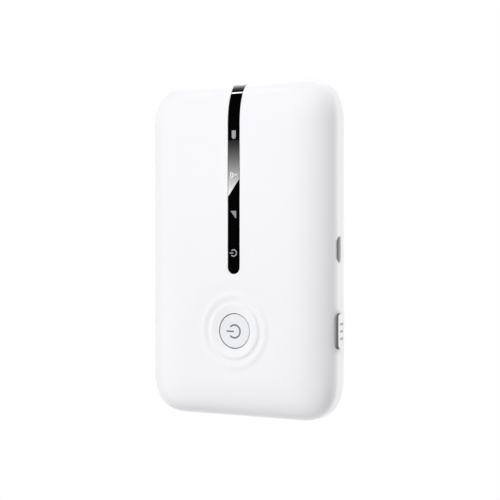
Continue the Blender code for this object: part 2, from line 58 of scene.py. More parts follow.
# Body outline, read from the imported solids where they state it
SHELL_LOW, SHELL_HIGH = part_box("front_shell")
COVER_LOW, COVER_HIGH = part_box("back_cover")
WIDTH = (SHELL_HIGH.x - SHELL_LOW.x) / MM
HEIGHT = (SHELL_HIGH.z - SHELL_LOW.z) / MM
FRONT_Y = SHELL_LOW.y / MM
THICKNESS = COVER_HIGH.y / MM - FRONT_Y
PARTING_DEPTH = SHELL_HIGH.y / MM - FRONT_Y
MIDDLE_Z = HEIGHT / 2
CORNER_X = 11.9
CORNER_Z = 13.0
CORNER_POWER = 2.5
CORNER_STEPS = 22
FRONT_ROLL_WIDTH = 12.5
FRONT_ROLL_DEPTH = 6.0
SIDE_BAND = 2.5
BACK_ROLL_WIDTH = 4.2
BACK_ROLL_DEPTH = THICKNESS - FRONT_ROLL_DEPTH - SIDE_BAND
WALL = 1.6
COVER_WALL = 1.3
COVER_START = PARTING_DEPTH + 0.2
SPIGOT_END = COVER_LOW.y / MM - FRONT_Y
RIM_ROUND = 0.14


def middle(node):
    """The middle of a CAD node as (across, depth, up)."""
    low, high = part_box(node)
    centre = (low + high) / 2 / MM
    return centre.x, centre.y - FRONT_Y, centre.z


# Button, strip, port, key and the cover's fingernail notch
BUTTON_Z = middle("power_button")[2]
BUTTON_RADIUS = 5.06
BUTTON_HOLE = 5.3
BUTTON_FACE_RADIUS = 4.7
BUTTON_FACE_DEPTH = 0.50
BUTTON_CROWN = 0.05
BUTTON_CAP_END = 0.7
SPUN_PITCH = 0.42
SPUN_RIDGE = 0.02
SIGN_Z = BUTTON_Z - 0.12
SIGN_RADIUS = 1.92
# The front's depth at each distance from the button's axis
RIPPLES = ((5.4, 0.36), (7.8, 0.03), (8.8, 0.34), (10.6, 0.0), (12.0, 0.18), (16.0, 0.0))
DISH_START = 5.0
STRIP_HALF = 2.05
STRIP_BOTTOM = 42.7
STRIP_TOP_DEPTH = 8.2
INDICATORS = ("battery", "wifi", "signal", "power")
WINDOW_RADIUS = 1.3
ICON_DEPTHS = (0.012, 0.2)
FAN_CENTRE_X = 0.85
FAN_RADII = (0.72, 1.28, 1.84)
WEDGE_REACH = 1.04
PORT_Z = 50.0
PORT_DEPTH = 6.3
PORT_LENGTH = 7.74
PORT_HEIGHT = 2.83
PORT_CHAMFER = 1.15
KEY_Z = middle("side_key")[2]
KEY_DEPTH = 6.45
KEY_LENGTH = 10.0
KEY_HEIGHT = 3.7
KEY_CORNER = 1.2
KEY_OUTER_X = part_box("side_key")[1].x / MM
KEY_CAP = 0.14
KEY_SKIRT_START = 28.9
KEY_SLOT_GAP = 0.15
KEY_MARK_PLACES = (-2.1, 0.0, 2.1)
KEY_MARK_LENGTH = 2.1
KEY_MARK_WIDTH = 0.68
KEY_MARK_GAP = 0.04
KEY_MARK_CORNER = 0.24
NAIL_RADIUS = 5.5
NAIL_REACH = 0.9

# Camera: its turn to the right of the front, and distances from the body's middle
CAMERA_TURN = math.radians(29.7)
CAMERA_DISTANCE = 373.0
CAMERA_SIDE = 1.4
CAMERA_DROP = 0.13
CAMERA_PIVOT_DEPTH = 7.0
CAMERA_LENS = 89.0
CAMERA_SENSOR = 36.0

# Lights: name, degrees to the right of the front, degrees up, size in metres, watts. They stand LIGHT_REACH
# metres from the body's middle, and mirrors don't show them
LIGHT_REACH = 0.9
LIGHTS = (
    ("front_light", -20, 15, 0.5, 1.3),
    ("high_front_light", 0, 40, 0.5, 3.0),
    ("right_front_light", 20, 15, 0.5, 0.9),
    ("top_light", 0, 85, 0.5, 0.8),
    ("low_left_light", -50, -30, 0.5, 3.0),
    ("far_rim_light", 160, 5, 0.5, 0.5),
    ("rim_light", 135, 0, 0.12, 0.25),
    ("high_rim_light", 150, 40, 0.2, 0.9),
    ("low_rim_light", 141, -40, 0.2, 4.6),
    ("high_right_light", 120, 45, 0.2, 2.2),
)

# World: its fill, what mirrors see in front and behind, and where along Y the one fades into the other
WORLD_FILL = 0.37
WORLD_SHINE = (0.015, 0.9)
SHINE_EDGE = (-0.05, 0.3)

# Metres from the base down to the floor, so that the two don't share a plane
FLOOR_DROP = 0.0004

# Reflections in the strip: a fading card with a slanted end, a thin line and a bright top. CARD_REACH is in
# metres, and STRIP_MIRROR is the share of a card's light that the strip sends on
CARD_TOP_Z = 82.6
CARD_SLANT_Z = 68.4
CARD_SLOPE = 1.35
CARD_HALF_WIDTH = 6.0
CARD_COLUMNS = 6
CARD_REACH = 0.5
LINE_CARD_Z = (96.6, 96.95)
LINE_GLOW = 30.0
TOP_CARD_Z = (97.4, 99.95)
STRIP_MIRROR = 0.043

CASING_WHITE = (0.892, 0.89, 0.918)


# ---------------------------------------------------------------- mesh tools


def at(x, depth, z):
    return Vector((x * MM, (FRONT_Y + depth) * MM, z * MM))


def between(first, last, steps):
    return [first + (last - first) * i / steps for i in range(steps + 1)]


def finish_mesh(name, shape, smooth_under=32):
    """Turns a bmesh into an object with outward normals, smooth but for its sharp edges."""
    bmesh.ops.recalc_face_normals(shape, faces=shape.faces)
    mesh = bpy.data.meshes.new(name)
    shape.to_mesh(mesh)
    shape.free()
    mesh.shade_smooth()
    mesh.set_sharp_from_angle(angle=math.radians(smooth_under))
    obj = bpy.data.objects.new(name, mesh)
    bpy.context.scene.collection.objects.link(obj)
    return obj


def add_loft(shape, rings):
    """Adds one closed body to a bmesh: quads between its rings and a face over each end."""
    loops = [[shape.verts.new(at(*point)) for point in ring] for ring in rings]
    count = len(loops[0])
    for near, far in zip(loops, loops[1:]):
        for i in range(count):
            j = (i + 1) % count
            shape.faces.new((near[i], near[j], far[j], far[i]))
    shape.faces.new(loops[0][::-1])
    shape.faces.new(loops[-1])


def loft(name, rings):
    shape = bmesh.new()
    add_loft(shape, rings)
    return finish_mesh(name, shape)


def turned(name, centre, profile, segments=96):
    """A piece turned round an axis along Y, from (radius, depth) pairs."""
    angles = [2 * math.pi * i / segments for i in range(segments)]
    x, z = centre
    rings = []
    for radius, depth in profile:
        rings.append([(x + radius * math.cos(a), depth, z + radius * math.sin(a)) for a in angles])
    return loft(name, rings)


def sideways(name, sections):
    """A body lofted along X from (x, outline) pairs, each outline a list of (z, depth)."""
    return loft(name, [[(x, depth, z) for z, depth in outline] for x, outline in sections])


def plates(name, outlines, depths):
    """Thin solids that face the front, from outlines of (x, z) points."""
    shape = bmesh.new()
    for outline in outlines:
        add_loft(shape, [[(x, depth, z) for x, z in outline] for depth in depths])
    return finish_mesh(name, shape)


def rounded_rectangle(length, height, corner, steps=8):
    """Points of a rectangle centred on 0, with round corners, as (u, v) pairs."""
    points = []
    for quarter, (side, end) in enumerate(((1, 1), (-1, 1), (-1, -1), (1, -1))):
        for step in range(steps + 1):
            angle = (quarter + step / steps) * RIGHT_ANGLE
            u = side * (length / 2 - corner) + corner * math.cos(angle)
            v = end * (height / 2 - corner) + corner * math.sin(angle)
            points.append((u, v))
    return points


def cut(target, *tools):
    """Takes the tools' shapes out of the target for good, and removes the tools."""
    for tool in tools:
        modifier = target.modifiers.new(tool.name, "BOOLEAN")
        modifier.operation = "DIFFERENCE"
        modifier.solver = "EXACT"
        modifier.object = tool
    settle(target)
    for tool in tools:
        bpy.data.objects.remove(tool, do_unlink=True)


def settle(target):
    """Applies a piece's modifiers."""
    graph = bpy.context.evaluated_depsgraph_get()
    graph.update()
    mesh = bpy.data.meshes.new_from_object(target.evaluated_get(graph))
    target.modifiers.clear()
    target.data = mesh


def polish(target, smooth_under=32):
    """Shades a cut piece smoothly, and lets its large faces rule the shading where they meet small ones."""
    target.data.shade_smooth()
    target.data.set_sharp_from_angle(angle=math.radians(smooth_under))
    weighted = target.modifiers.new("even_shading", "WEIGHTED_NORMAL")
    weighted.keep_sharp = True
    weighted.weight = 100
    settle(target)


# ---------------------------------------------------------------- body surfaces


def body_ring(inset, depth):
    """The body's outline, drawn in by inset: straight sides and superellipse corners."""
    half_x, half_z = WIDTH / 2 - inset, HEIGHT / 2 - inset
    radius_x = CORNER_X * math.exp(-inset / CORNER_X)
    radius_z = CORNER_Z * math.exp(-inset / CORNER_Z)
    ring = []
    for quarter, (side, end) in enumerate(((1, 1), (-1, 1), (-1, -1), (1, -1))):
        for step in range(CORNER_STEPS + 1):
            share = step / CORNER_STEPS if quarter % 2 == 0 else 1 - step / CORNER_STEPS
            angle = share * RIGHT_ANGLE
            x = half_x - radius_x + radius_x * max(math.cos(angle), 0.0) ** (2 / CORNER_POWER)
            z = half_z - radius_z + radius_z * max(math.sin(angle), 0.0) ** (2 / CORNER_POWER)
            ring.append((side * x, depth, MIDDLE_Z + end * z))
    return ring


def front_normal(angle):
    """How far the surface faces outwards and frontwards, at an angle round the front edge's ellipse."""
    across = math.sin(angle) / FRONT_ROLL_WIDTH
    inwards = math.cos(angle) / FRONT_ROLL_DEPTH
    length = math.hypot(across, inwards)
    return across / length, inwards / length


def front_roll(angle, below=0.0):
    """(inset, depth) on the front edge's quarter ellipse. Angle 0 is at the front face."""
    across, inwards = front_normal(angle)
    inset = FRONT_ROLL_WIDTH * (1 - math.sin(angle)) + below * across
    return inset, FRONT_ROLL_DEPTH * (1 - math.cos(angle)) + below * inwards


def back_roll(angle):
    """(inset, depth) on the back edge's quarter ellipse. Angle 0 is at the side."""
    depth = FRONT_ROLL_DEPTH + SIDE_BAND + BACK_ROLL_DEPTH * math.sin(angle)
    return BACK_ROLL_WIDTH * (1 - math.cos(angle)), depth


def back_roll_angle(depth):
    return math.asin((depth - FRONT_ROLL_DEPTH - SIDE_BAND) / BACK_ROLL_DEPTH)


def ripple_depth(radius):
    """How deep the front lies at a distance from the button's axis: a dish, and two rings that fade out."""
    for (near, near_depth), (far, far_depth) in zip(RIPPLES, RIPPLES[1:]):
        if radius < far:
            share = min(max((radius - near) / (far - near), 0.0), 1.0)
            return near_depth + (far_depth - near_depth) * (1 - math.cos(math.pi * share)) / 2
    return RIPPLES[-1][1]


def strip_bar(name, half_width, section, tip_shift):
    """A bar that follows the front up its middle and over the top edge, with round tips.

    section lists (how much narrower than half_width, how far below the surface), front to back.
    """
    tips = [half_width * share for share in (0.02, 0.07, 0.15, 0.27, 0.42, 0.6, 0.8, 1.0)]

    def station(z, depth, across, inwards, half):
        right = []
        for narrower, below in section:
            x = max(half - narrower, 0.01)
            right.append((x, depth + below * inwards, z - below * across))
        return right + [(-x, d, v) for x, d, v in reversed(right)]

    def half_at(along):
        return math.sqrt(half_width**2 - (half_width - along) ** 2)

    rings = [station(STRIP_BOTTOM + tip_shift + along, 0.0, 0.0, 1.0, half_at(along)) for along in tips]
    for angle in between(0.0, RIGHT_ANGLE, 48):
        inset, depth = front_roll(angle)
        rings.append(station(HEIGHT - inset, depth, *front_normal(angle), half_width))
    end = STRIP_TOP_DEPTH - tip_shift
    rings += [station(HEIGHT, end - along, 1.0, 0.0, half_at(along)) for along in reversed(tips)]
    return loft(name, rings)


# ---------------------------------------------------------------- outer pieces


def port_outline(length, height, chamfer=PORT_CHAMFER):
    """The micro-USB outline: its long side is towards the back, and the front corners are cut off."""
    half, low, high = length / 2, PORT_DEPTH - height / 2, PORT_DEPTH + height / 2
    near = half - chamfer
    right = ((half - 0.25, high), (half, high - 0.25), (half, low + chamfer), (near, low))
    left = [(-u, depth) for u, depth in reversed(right)]
    return [(PORT_Z + u, depth) for u, depth in (*right, *left)]


def make_front_shell():
    parting = back_roll_angle(PARTING_DEPTH - RIM_ROUND)
    rim_inset = back_roll(parting)[0]
    profile = [front_roll(a) for a in between(0.0, RIGHT_ANGLE, 30)]
    profile += [back_roll(a) for a in between(0.0, parting, 6)]
    profile += [(rim_inset + 0.05, PARTING_DEPTH - 0.05), (rim_inset + RIM_ROUND, PARTING_DEPTH)]
    profile += [(WALL, PARTING_DEPTH)]
    profile += [front_roll(a, WALL) for a in between(RIGHT_ANGLE, 0.0, 12)]
    shell = loft("front_casing", [body_ring(*pair) for pair in profile])
    dish_end = RIPPLES[-1][0]
    dish = [(radius, ripple_depth(radius)) for radius in between(DISH_START, dish_end - 0.12, 96)]
    dish = [(dish_end + 0.2, -0.6), (dish_end, -0.006), *dish[::-1]]
    hole = ((BUTTON_HOLE + 0.7, -0.3), (BUTTON_HOLE, 0.4), (BUTTON_HOLE, WALL + 0.5))
    recess = ((-0.46, -0.4), (0.0, 0.06), (0.0, 0.9))
    mouth = [(WIDTH / 2 - 3, port_outline(PORT_LENGTH, PORT_HEIGHT))]
    mouth += [(WIDTH / 2 - 0.07, port_outline(PORT_LENGTH, PORT_HEIGHT))]
    mouth += [(WIDTH / 2 + 0.53, port_outline(PORT_LENGTH + 1.2, PORT_HEIGHT + 1.2, PORT_CHAMFER + 0.35))]
    slot_size = (KEY_LENGTH + 2 * KEY_SLOT_GAP, KEY_HEIGHT + 2 * KEY_SLOT_GAP, KEY_CORNER + KEY_SLOT_GAP)
    slot = [(KEY_Z + u, KEY_DEPTH + v) for u, v in rounded_rectangle(*slot_size)]
    tools = [
        turned("dish_cutter", (0, BUTTON_Z), dish, 160),
        turned("hole_cutter", (0, BUTTON_Z), hole, 160),
        strip_bar("strip_cutter", STRIP_HALF, recess, 0.0),
        sideways("port_cutter", mouth),
        sideways("slot_cutter", [(WIDTH / 2 - 3.5, slot), (WIDTH / 2 + 1, slot)]),
    ]
    window = ((WINDOW_RADIUS, 0.5), (WINDOW_RADIUS, WALL + 0.5))
    for light in INDICATORS:
        tools.append(turned(f"{light}_window", (0, middle(f"led_{light}")[2]), window, 32))
    cut(shell, *tools)
    polish(shell)
    return shell


def make_back_cover():
    parting = back_roll_angle(COVER_START + RIM_ROUND)
    rim_inset = back_roll(parting)[0]
    spigot = WALL + 0.15
    inner = spigot + 1.0
    deepest = THICKNESS - COVER_WALL
    profile = [back_roll(a) for a in between(RIGHT_ANGLE, parting, 22)]
    profile += [(rim_inset + 0.04, COVER_START + 0.05), (rim_inset + RIM_ROUND, COVER_START)]
    profile += [(spigot, COVER_START), (spigot, SPIGOT_END + 0.25), (spigot + 0.25, SPIGOT_END)]
    profile += [(inner - 0.1, SPIGOT_END), (inner, SPIGOT_END + 0.1), (inner, deepest - 1.2)]
    profile += [(inner + 0.2, deepest - 0.7), (inner + 0.7, deepest - 0.25), (inner + 1.8, deepest)]
    cover = loft("back_casing", [body_ring(*pair) for pair in profile])
    angles = between(0.0, 2 * math.pi * 79 / 80, 79)
    centre = COVER_START + NAIL_REACH - NAIL_RADIUS
    notch = ((-0.6, NAIL_RADIUS + 0.55), (NAIL_REACH - 0.2, NAIL_RADIUS), (NAIL_REACH, NAIL_RADIUS - 0.2))
    rings = []
    for z, radius in notch:
        rings.append([(radius * math.cos(a), centre + radius * math.sin(a), z) for a in angles])
    cut(cover, loft("nail_cutter", rings))
    polish(cover)
    return cover


def make_lens():
    section = ((0.12, 0.025), (0.04, 0.055), (0.0, 0.12), (0.0, 0.78))
    lens = strip_bar("strip_lens", STRIP_HALF - 0.04, section, 0.04)
    polish(lens, 12)
    return lens


def arc_band(centre, radius, width, first, last, steps=24):
    """The outline of a band bent round a centre, between two angles."""
    outer = [(radius + width / 2, angle) for angle in between(first, last, steps)]
    inner = [(radius - width / 2, angle) for angle in between(last, first, steps)]
    return [(centre[0] + r * math.cos(a), centre[1] + r * math.sin(a)) for r, a in outer + inner]


def bar(x, z, width, height):
    left, right = x - width / 2, x + width / 2
    low, high = z - height / 2, z + height / 2
    return [(left, low), (right, low), (right, high), (left, high)]


def power_sign(x, z, radius, stroke):
    """A broken ring and a bar that lies towards the left."""
    gap = math.radians(41)
    ring = arc_band((x, z), radius, stroke, -math.pi + gap, math.pi - gap, 40)
    return [ring, bar(x - radius * 0.76, z, radius * 1.3, stroke * 0.92)]


def make_icons():
    """Four pictograms in the strip, each turned a quarter turn to the left."""
    battery_z, wifi_z, signal_z, power_z = (middle(f"led_{light}")[2] for light in INDICATORS)
    battery = [bar(0.04, battery_z + 0.32, 1.4, 2.1), bar(0.04, battery_z - 0.9, 0.95, 0.36)]
    centre = (FAN_CENTRE_X, wifi_z)
    fan = [arc_band(centre, r, 0.38, math.radians(147), math.radians(213)) for r in FAN_RADII]
    fan.append(arc_band(centre, 0.14, 0.26, 0.0, 2 * math.pi * 0.99))
    steps = []
    for low in between(signal_z - WEDGE_REACH, signal_z + 0.72, 4):
        slant = [(0.57 - 0.78 * (z - signal_z + WEDGE_REACH), z) for z in (low, low + 0.34)]
        steps.append([slant[0], (0.91, low), (0.91, low + 0.34), slant[1]])
    return [
        plates("battery_icon", battery, ICON_DEPTHS),
        plates("wireless_icon", fan, ICON_DEPTHS),
        plates("signal_icon", steps, ICON_DEPTHS),
        plates("power_icon", power_sign(0.0, power_z - 0.1, 0.95, 0.35), ICON_DEPTHS),
    ]


def make_button():
    """The round button: a white cap of fine spun rings, the skirt that it sits on, near-black as painted
    shade that fills the gap round the cap, and its sign.
    """
    flange_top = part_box("power_button")[1].y / MM - FRONT_Y - 0.85
    face = []
    for radius in between(0.05, BUTTON_FACE_RADIUS, 94):
        depth = BUTTON_FACE_DEPTH - BUTTON_CROWN * (radius / BUTTON_FACE_RADIUS) ** 2
        face.append((radius, depth + SPUN_RIDGE * math.cos(2 * math.pi * radius / SPUN_PITCH)))
    edge = [(4.86, 0.465), (4.96, 0.495), (5.03, 0.55), (BUTTON_RADIUS, 0.62)]
    cap = turned("button_cap", (0, BUTTON_Z), [*face, *edge, (BUTTON_RADIUS, BUTTON_CAP_END)], 128)
    top = BUTTON_CAP_END + 0.01
    body = [(1.2, top), (BUTTON_HOLE - 0.05, top), (BUTTON_HOLE - 0.05, flange_top), (5.9, flange_top)]
    body += [(5.9, flange_top + 0.55), (1.2, flange_top + 0.55), (1.2, flange_top + 0.85)]
    skirt = turned("button_skirt", (0, BUTTON_Z), body, 96)
    cut(cap, plates("sign_cutter", power_sign(0.0, SIGN_Z, SIGN_RADIUS, 0.52), (-0.3, 0.62)))
    polish(cap, 40)
    polish(skirt)
    inlay = plates("button_sign", power_sign(0.0, SIGN_Z, SIGN_RADIUS, 0.48), (0.52, 0.61))
    return cap, skirt, inlay


def key_outline(smaller=0.0):
    """The key's outline as (z, depth) points, drawn in on every side."""
    size = (KEY_LENGTH - 2 * smaller, KEY_HEIGHT - 2 * smaller, KEY_CORNER - 0.6 * smaller)
    return [(KEY_Z + u, KEY_DEPTH + v) for u, v in rounded_rectangle(*size)]


def mark_outline(offset, width):
    """One mark's outline as (z, depth) points, offset along the key."""
    corners = rounded_rectangle(width, KEY_MARK_LENGTH, KEY_MARK_CORNER)
    return [(KEY_Z + offset + u, KEY_DEPTH + v) for u, v in corners]


def make_side_key():
    """The raised key: a skirt under a white cap, coloured grey as painted shade that darkens outwards, with
    three grey marks let into the cap.
    """
    cap_start = KEY_OUTER_X - KEY_CAP
    skirt = sideways("key_skirt", [(KEY_SKIRT_START, key_outline()), (cap_start - 0.01, key_outline())])
    sections = ((cap_start, 0.0), (KEY_OUTER_X - 0.08, 0.0), (KEY_OUTER_X - 0.03, 0.03), (KEY_OUTER_X, 0.10))
    cap = sideways("key_cap", [(x, key_outline(smaller)) for x, smaller in sections])
    marks = []
    for number, offset in enumerate(KEY_MARK_PLACES, 1):
        slot = mark_outline(offset, KEY_MARK_WIDTH + KEY_MARK_GAP)
        mark = mark_outline(offset, KEY_MARK_WIDTH)
        cut(cap, sideways(f"slot_{number}", [(KEY_OUTER_X - 0.06, slot), (KEY_OUTER_X + 0.3, slot)]))
        marks.append(sideways(f"key_mark_{number}", [(KEY_OUTER_X - 0.05, mark), (KEY_OUTER_X - 0.02, mark)]))
    polish(cap)
    return cap, skirt, marks


def make_port_shell():
    """The socket's metal mouth, a thin shell that ends just inside the casing's side."""
    back_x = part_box("usb_socket_shell")[0].x / MM
    outer = port_outline(PORT_LENGTH - 0.08, PORT_HEIGHT - 0.08)
    inner = port_outline(PORT_LENGTH - 0.7, PORT_HEIGHT - 0.7)
    shell = sideways("port_shell", [(back_x, outer), (WIDTH / 2 - 0.15, outer)])
    cut(shell, sideways("mouth_cutter", [(back_x - 1, inner), (WIDTH / 2 + 1, inner)]))
    polish(shell)
    return shell


# ---------------------------------------------------------------- materials


def new_material(name):
    material = bpy.data.materials.new(name)
    material.use_nodes = True
    nodes, links = material.node_tree.nodes, material.node_tree.links
    return material, nodes, links, nodes["Principled BSDF"]


def noise(nodes, links, scale, detail=3.0):
    """Noise in object space, as a node whose scale is in repeats per metre."""
    coordinates = nodes.new("ShaderNodeTexCoord")
    texture = nodes.new("ShaderNodeTexNoise")
    texture.inputs["Scale"].default_value = scale
    texture.inputs["Detail"].default_value = detail
    links.new(coordinates.outputs["Object"], texture.inputs["Vector"])
    return texture


def spread(nodes, links, source, low, high):
    """Maps a 0 to 1 value to a range."""
    remap = nodes.new("ShaderNodeMapRange")
    remap.inputs["To Min"].default_value = low
    remap.inputs["To Max"].default_value = high
    links.new(source, remap.inputs["Value"])
    return remap.outputs["Result"]


def shade_range(nodes, links, source, dark, light):
    """Maps a 0 to 1 value to colours between two shades."""
    ramp = nodes.new("ShaderNodeValToRGB")
    ramp.color_ramp.elements[0].color = (*dark, 1.0)
    ramp.color_ramp.elements[1].color = (*light, 1.0)
    links.new(source, ramp.inputs["Fac"])
    return ramp.outputs["Color"]


def add_bump(nodes, links, shader, source, height):
    bump = nodes.new("ShaderNodeBump")
    bump.inputs["Strength"].default_value = 1.0
    bump.inputs["Distance"].default_value = height
    links.new(source, bump.inputs["Height"])
    links.new(bump.outputs["Normal"], shader.inputs["Normal"])


def moulded(name, colour, roughness, vary=0.02, grain=900.0, height=2e-6, metallic=0.0):
    """Moulded or rolled material: slight drift in shade and gloss, and a fine surface grain."""
    material, nodes, links, shader = new_material(name)
    drift = noise(nodes, links, 45.0)
    dark = tuple(c * (1 - vary) for c in colour)
    light = tuple(min(c * (1 + vary), 1.0) for c in colour)
    shades = shade_range(nodes, links, drift.outputs["Fac"], dark, light)
    gloss = spread(nodes, links, drift.outputs["Fac"], roughness * 0.9, roughness * 1.1)
    links.new(shades, shader.inputs["Base Color"])
    links.new(gloss, shader.inputs["Roughness"])
    fine = noise(nodes, links, grain, 2.0)
    add_bump(nodes, links, shader, fine.outputs["Fac"], height)
    shader.inputs["Metallic"].default_value = metallic
    return material


def painted_shade_skirt_material(inner, outer, span):
    """Grey plastic with painted shade: light by the casing and darker outwards, standing in for the casing's
    contact shadow and the shade on the key's flank, with a fine grain. span is in metres along X.
    """
    material, nodes, links, shader = new_material("key_painted_shade")
    coordinates = nodes.new("ShaderNodeTexCoord")
    axes = nodes.new("ShaderNodeSeparateXYZ")
    links.new(coordinates.outputs["Object"], axes.inputs["Vector"])
    outwards = nodes.new("ShaderNodeMapRange")
    outwards.inputs["From Min"].default_value = span[0]
    outwards.inputs["From Max"].default_value = span[1]
    links.new(axes.outputs["X"], outwards.inputs["Value"])
    shades = shade_range(nodes, links, outwards.outputs["Result"], inner, outer)
    links.new(shades, shader.inputs["Base Color"])
    add_bump(nodes, links, shader, noise(nodes, links, 900.0, 2.0).outputs["Fac"], 2e-6)
    shader.inputs["Roughness"].default_value = 0.5
    return material


def board_material():
    """Solder mask with lighter tracks."""
    material, nodes, links, shader = new_material("circuit_board")
    coordinates = nodes.new("ShaderNodeTexCoord")
    tracks = nodes.new("ShaderNodeTexBrick")
    tracks.inputs["Scale"].default_value = 380.0
    tracks.inputs["Mortar Size"].default_value = 0.06
    tracks.inputs["Color1"].default_value = (0.012, 0.10, 0.05, 1)
    tracks.inputs["Color2"].default_value = (0.014, 0.12, 0.06, 1)
    tracks.inputs["Mortar"].default_value = (0.03, 0.22, 0.11, 1)
    turn = nodes.new("ShaderNodeMapping")
    turn.inputs["Rotation"].default_value = (RIGHT_ANGLE, 0, 0)
    links.new(coordinates.outputs["Object"], turn.inputs["Vector"])
    links.new(turn.outputs["Vector"], tracks.inputs["Vector"])
    links.new(tracks.outputs["Color"], shader.inputs["Base Color"])
    add_bump(nodes, links, shader, tracks.outputs["Fac"], 2e-5)
    shader.inputs["Roughness"].default_value = 0.4
    return material


def make_materials():
    return {
        "white_gloss": moulded("white_casing", CASING_WHITE, 0.30, 0.006, 1500.0, 6e-7),
        "white_key": moulded("white_key_plastic", CASING_WHITE, 0.30, 0.006, 1500.0, 6e-7),
        "white_satin": moulded("white_button", (0.84, 0.845, 0.87), 0.38, 0.01, 1500.0, 1e-6),
        "black_gloss": moulded("black_window", (0.0008, 0.0008, 0.001), 0.006, 0.1, 900.0, 1e-9),
        "milky_plastic": moulded("milky_marks", (0.36, 0.36, 0.37), 0.01, 0.04, 900.0, 1e-9),
        "black_plastic": moulded("black_moulding", (0.02, 0.02, 0.022), 0.5, 0.15, 1400.0, 8e-6),
        "grey_plastic": moulded("grey_chassis", (0.20, 0.21, 0.22), 0.5, 0.06, 1400.0, 8e-6),
        "steel": moulded("plain_steel", (0.56, 0.57, 0.58), 0.32, 0.06, 2200.0, 4e-6, 1.0),
        "tinned_steel": moulded("tinned_cans", (0.66, 0.66, 0.64), 0.30, 0.08, 1200.0, 5e-6, 1.0),
        "gold_contact": moulded("gold_plate", (0.86, 0.62, 0.26), 0.25, 0.05, 1600.0, 3e-6, 1.0),
        "board_green": board_material(),
        "chip_black": moulded("chip_epoxy", (0.025, 0.025, 0.028), 0.55, 0.15, 2600.0, 6e-6),
        "foil_copper": moulded("antenna_foil", (0.72, 0.40, 0.24), 0.35, 0.07, 1400.0, 8e-6, 1.0),
        "battery_wrap": moulded("battery_film", (0.50, 0.52, 0.55), 0.34, 0.05, 700.0, 1.2e-5),
        "foam": moulded("foam_pad", (0.03, 0.03, 0.03), 0.95, 0.2, 2600.0, 6e-5),
        "sign_grey": moulded("sign_grey", (0.20, 0.20, 0.22), 0.45, 0.05),
        # Painted shade: the key's skirt is dark grey with a soft ramp that stands in for the flank's shade
        # and the contact shadow beside it
        "key_painted_shade": painted_shade_skirt_material((0.60, 0.60, 0.62), (0.14, 0.14, 0.15), (0.0309, 0.0316)),
        "mark_grey": moulded("mark_grey", (0.45, 0.45, 0.47), 0.5, 0.05),
        # Painted shade: near-black for the button's skirt, standing in for the shadow in the gap round the
        # cap
        "gap_painted_shade": moulded("gap_painted_shade", (0.03, 0.03, 0.032), 0.5, 0.1),
        "socket_metal": moulded("socket_metal", (0.62, 0.62, 0.63), 0.5, 0.05, 2200.0, 4e-6, 0.1),
    }


# ---------------------------------------------------------------- stage


def aim(obj, target):
    """Points an object's -Z side at a place given in metres."""
    direction = Vector(target) - obj.location
    obj.rotation_euler = direction.to_track_quat("-Z", "Y").to_euler()


def soft_light(name, place, size, power):
    """A square studio light aimed at the body's middle. Places are in metres."""
    light = bpy.data.lights.new(name, "AREA")
    light.size = size
    light.energy = power
    obj = bpy.data.objects.new(name, light)
    obj.location = place
    bpy.context.scene.collection.objects.link(obj)
    aim(obj, (0, 0, MIDDLE_Z * MM))
    obj.visible_camera = False
    obj.visible_glossy = False


def make_lights():
    """Soft lights all round, each placed by its turn to the right of the front and its height angle."""
    for name, turn, height, size, power in LIGHTS:
        turn, height = math.radians(turn), math.radians(height)
        level = LIGHT_REACH * math.cos(height)
        up = MIDDLE_Z * MM + LIGHT_REACH * math.sin(height)
        place = (level * math.sin(turn), -level * math.cos(turn), up)
        soft_light(name, place, size, power)


def strip_surface(z):
    """The depth and the normal of the front's middle line at a height, up to the top edge."""
    share = 1 - (HEIGHT - z) / FRONT_ROLL_WIDTH
    angle = math.asin(min(max(share, 0.0), 1.0))
    across, inwards = front_normal(angle)
    return front_roll(angle)[1], Vector((0, -inwards, across))


def mirrored_place(x, z, reach):
    """Where a light has to be for the camera to see it in the strip at (x, z), reach metres from there."""
    depth, normal = strip_surface(z)
    place = at(x, depth, z)
    ray = (place - bpy.context.scene.camera.location).normalized()
    return place + (ray - 2 * ray.dot(normal) * normal) * reach


def shine_card(name, low_z, high_z, glow_at, slope=0.0, rows=16):
    """A sheet that only reflections see, placed so that the strip mirrors it from low_z to high_z."""
    mesh = bpy.data.meshes.new(name)
    points, glows = [], []
    for x in between(-CARD_HALF_WIDTH, CARD_HALF_WIDTH, CARD_COLUMNS):
        for z in between(low_z + slope * x, high_z, rows):
            points.append(mirrored_place(x, z, CARD_REACH))
            glows.append(glow_at(z))
    faces = []
    for column in range(CARD_COLUMNS):
        for row in range(rows):
            corner = column * (rows + 1) + row
            faces.append((corner, corner + rows + 1, corner + rows + 2, corner + 1))
    mesh.from_pydata(points, [], faces)
    mesh.attributes.new("glow", "FLOAT", "POINT").data.foreach_set("value", glows)
    card = bpy.data.objects.new(name, mesh)
    bpy.context.scene.collection.objects.link(card)
    material, nodes, links, _ = new_material(name)
    glow = nodes.new("ShaderNodeAttribute")
    glow.attribute_name = "glow"
    emission = nodes.new("ShaderNodeEmission")
    links.new(glow.outputs["Fac"], emission.inputs["Strength"])
    links.new(emission.outputs["Emission"], nodes["Material Output"].inputs["Surface"])
    mesh.materials.append(material)
    for seen in ("camera", "diffuse", "transmission", "shadow"):
        setattr(card, f"visible_{seen}", False)


def make_shine():
    """The strip's three reflections: a fading card with a slanted end, a thin line, and the bright top."""

    def fading(z):
        return max(0.175 + (CARD_TOP_Z - z) * 0.0506, 0.0) ** 2.3 / STRIP_MIRROR

    def brightening(z):
        return 0.4 + 5.0 * min(max((z - 97.5) / 1.6, 0.0), 1.0) ** 2

    shine_card("slanted_card", CARD_SLANT_Z, CARD_TOP_Z, fading, CARD_SLOPE)
    shine_card("line_card", *LINE_CARD_Z, lambda z: LINE_GLOW, rows=2)
    shine_card("top_card", *TOP_CARD_Z, brightening, rows=24)


